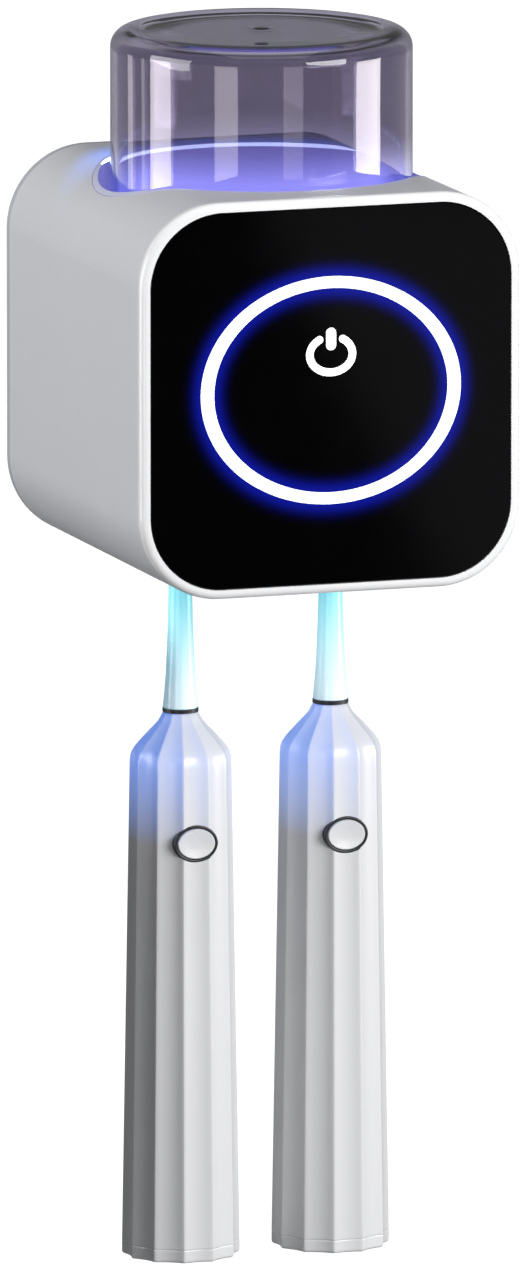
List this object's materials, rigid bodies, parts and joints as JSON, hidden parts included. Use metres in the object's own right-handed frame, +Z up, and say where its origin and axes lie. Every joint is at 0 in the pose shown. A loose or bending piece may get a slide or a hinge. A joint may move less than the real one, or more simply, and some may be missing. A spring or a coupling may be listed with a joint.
{
  "type": "toothbrush sanitizer",
  "caption": "Wall-hung cube sanitizer: gloss front with a light ring, inverted smoke rinse cup in a lit well on top, electric toothbrushes hanging by their heads below.",
  "frame": {"origin": "middle of the adhesive face that meets the wall, at the housing's mid height", "axes": "+Z up, +X to the right seen from the front, front towards -Y, wall at Y = 0"},
  "size_m": [0.105, 0.1186, 0.3289],
  "materials": {
    "housing_white": "satin white",
    "bezel_white": "gloss white",
    "cover_grey": "fine matte",
    "black_glass": "high gloss black",
    "light_guide": "opal light guide",
    "carrier_black": "matte black",
    "board_green": "solder mask",
    "lamp_lens": "clear over yellow phosphor",
    "chip_black": "matte",
    "cell_wrap": "shrink wrap",
    "smoke_cup": "clear smoke tint",
    "clear_lens": "clear",
    "liner_mirror": "vacuum metallised",
    "silicone_grey": "soft silicone",
    "steel": "plain",
    "copper": "enamelled copper wire",
    "pad_foam": "foam tape",
    "brush_white": "satin white",
    "ring_black": "satin black",
    "bristle_white": "nylon filament"
  },
  "bodies": {
    "bracket": {"wall_plate": "cover_grey", "adhesive_pad": "pad_foam"},
    "cup": {"cup": "smoke_cup"},
    "usb_flap": {"usb_flap": "silicone_grey"},
    "housing": {"housing_shell": "housing_white", "back_cover": "cover_grey", "back_cover_screws": "steel", "front_bezel": "bezel_white", "front_panel": "black_glass", "light_ring": "light_guide", "power_symbol": "light_guide", "touch_plate": "black_glass", "panel_carrier": "carrier_black", "front_board": "board_green", "front_leds": "lamp_lens", "cup_well": "bezel_white", "cup_lens": "clear_lens", "cup_uv_board": "board_green", "cup_uv_leds": "lamp_lens", "port_plate": "cover_grey", "port_collar_left": "bezel_white", "port_collar_right": "bezel_white", "grip_left": "silicone_grey", "grip_right": "silicone_grey", "chamber_liner": "liner_mirror", "chamber_uv_board": "board_green", "chamber_uv_leds": "lamp_lens", "main_board": "board_green", "main_board_parts": "chip_black", "battery_cell": "cell_wrap", "battery_holder": "carrier_black", "board_screws": "steel", "usb_socket": "steel"},
    "brush_left": {"handle_shell_left": "brush_white", "base_cap_left": "brush_white", "button_ring_left": "ring_black", "brush_board_left": "board_green", "motor_left": "steel", "brush_battery_left": "cell_wrap", "charge_coil_left": "copper", "shaft_seal_left": "silicone_grey"},
    "shaft_left": {"drive_shaft_left": "steel"},
    "head_left": {"brush_head_left": "brush_white", "head_ring_left": "ring_black", "bristles_left": "bristle_white"},
    "button_left": {"button_left": "brush_white"},
    "brush_right": {"handle_shell_right": "brush_white", "base_cap_right": "brush_white", "button_ring_right": "ring_black", "brush_board_right": "board_green", "motor_right": "steel", "brush_battery_right": "cell_wrap", "charge_coil_right": "copper", "shaft_seal_right": "silicone_grey"},
    "shaft_right": {"drive_shaft_right": "steel"},
    "head_right": {"brush_head_right": "brush_white", "head_ring_right": "ring_black", "bristles_right": "bristle_white"},
    "button_right": {"button_right": "brush_white"}
  },
  "joints": [
    {"name": "housing_lift", "type": "slide", "parent": "bracket", "child": "housing", "axis": [0, 0, 1], "range_m": [0, 0.039]},
    {"name": "cup_lift", "type": "slide", "parent": "housing", "child": "cup", "axis": [0, 0, 1], "range_m": [0, 0.06]},
    {"name": "usb_flap_swing", "type": "hinge", "parent": "housing", "child": "usb_flap", "pos_m": [0.0518, -0.018, -0.0213], "axis": [0, -1, 0], "range_deg": [0, 100], "stiffness_Nm_per_rad": 0.0004},
    {"name": "brush_left_pull", "type": "slide", "parent": "housing", "child": "brush_left", "axis": [0, 0, -1], "range_m": [0, 0.06], "deforming": ["grip_left"]},
    {"name": "shaft_left_swing", "type": "hinge", "parent": "brush_left", "child": "shaft_left", "pos_m": [-0.021, -0.0568, -0.093], "axis": [0, 0, 1], "range_deg": [-4, 4], "stiffness_Nm_per_rad": 0.05},
    {"name": "head_left_pull", "type": "slide", "parent": "shaft_left", "child": "head_left", "axis": [0, 0, 1], "range_m": [0, 0.0205]},
    {"name": "button_left_press", "type": "slide", "parent": "brush_left", "child": "button_left", "axis": [0, 1, 0], "range_m": [0, 0.0006], "stiffness_N_per_m": 1500},
    {"name": "brush_right_pull", "type": "slide", "parent": "housing", "child": "brush_right", "axis": [0, 0, -1], "range_m": [0, 0.06], "deforming": ["grip_right"]},
    {"name": "shaft_right_swing", "type": "hinge", "parent": "brush_right", "child": "shaft_right", "pos_m": [0.021, -0.0568, -0.093], "axis": [0, 0, 1], "range_deg": [-4, 4], "stiffness_Nm_per_rad": 0.05},
    {"name": "head_right_pull", "type": "slide", "parent": "shaft_right", "child": "head_right", "axis": [0, 0, 1], "range_m": [0, 0.0205]},
    {"name": "button_right_press", "type": "slide", "parent": "brush_right", "child": "button_right", "axis": [0, 1, 0], "range_m": [0, 0.0006], "stiffness_N_per_m": 1500}
  ]
}
